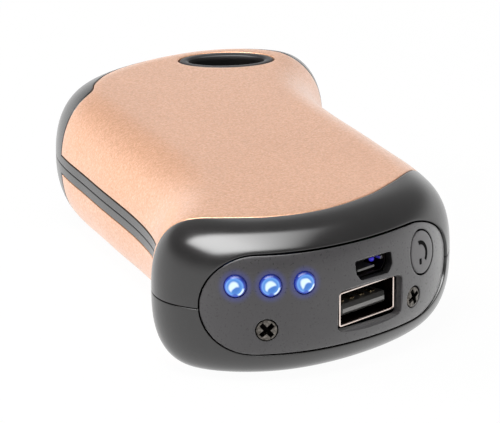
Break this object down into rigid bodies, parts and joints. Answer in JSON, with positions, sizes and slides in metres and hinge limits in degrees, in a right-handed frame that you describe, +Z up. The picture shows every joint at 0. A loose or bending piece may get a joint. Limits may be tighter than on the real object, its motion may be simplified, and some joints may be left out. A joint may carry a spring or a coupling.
{
  "type": "rechargeable hand warmer",
  "caption": "S-shaped rechargeable hand warmer with two gold metal panels, a black cap with sockets, lights and a power button, and a lanyard hole.",
  "frame": {"origin": "centre of the body's plan, on the underside that it lies on", "axes": "+Y along the body from the socket end to the lanyard end, +X across it to the right as seen from the socket end, +Z up out of the front panel"},
  "size_m": [0.0612, 0.1224, 0.0244],
  "materials": {
    "gloss_black": "glossy",
    "gold_metal": "fine satin with a metallic sparkle",
    "satin_black": "satin",
    "plate_grey": "satin",
    "button_grey": "satin",
    "lens_blue": "clear and glossy, lit blue",
    "chip_white": "glossy",
    "screw_nickel": "dark plated",
    "socket_steel": "bright plated sheet",
    "contact_brass": "polished",
    "socket_tongue": "matt",
    "board_green": "satin",
    "ferrite": "matt",
    "cell_pouch": "satin foil",
    "foam": "matt open cells",
    "heater_film": "glossy amber film",
    "lead_red": "satin",
    "lead_black": "satin",
    "lead_white": "satin"
  },
  "bodies": {
    "body": {"upper_shell": "gloss_black", "lower_shell": "gloss_black", "front_panel": "gold_metal", "back_panel": "gold_metal", "eyelet_front": "satin_black", "eyelet_back": "satin_black", "port_plate": "plate_grey", "light_lens_1": "lens_blue", "light_lens_2": "lens_blue", "light_lens_3": "lens_blue", "light_chip_1": "chip_white", "light_chip_2": "chip_white", "light_chip_3": "chip_white", "plate_screw_1": "screw_nickel", "plate_screw_2": "screw_nickel", "usb_socket_shell": "socket_steel", "usb_socket_tongue": "socket_tongue", "usb_contact_1": "contact_brass", "usb_contact_2": "contact_brass", "usb_contact_3": "contact_brass", "usb_contact_4": "contact_brass", "charge_socket_shell": "socket_steel", "charge_socket_tongue": "socket_tongue", "switch_body": "satin_black", "power_board": "board_green", "light_board": "board_green", "coil": "ferrite", "control_chip": "satin_black", "cell_front": "cell_pouch", "cell_back": "cell_pouch", "foam_pad_front": "foam", "foam_pad_back": "foam", "heater_film_front": "heater_film", "heater_film_back": "heater_film", "heat_sensor": "satin_black", "cell_lead_plus": "lead_red", "cell_lead_minus": "lead_black", "heater_lead_front": "lead_white", "heater_lead_back": "lead_white"},
    "button": {"power_button": "button_grey"},
    "plunger": {"switch_plunger": "chip_white"}
  },
  "joints": [
    {"name": "button_press", "type": "slide", "parent": "body", "child": "button", "axis": [-0.6253, 0.7804, 0], "range_m": [0, 0.0005], "stiffness_N_per_m": 400},
    {"name": "plunger_press", "type": "slide", "parent": "body", "child": "plunger", "axis": [-0.6253, 0.7804, 0], "range_m": [0, 0.0005]}
  ],
  "couplings": [
    {"joint": "plunger_press", "follows": "button_press", "ratio": 1}
  ]
}
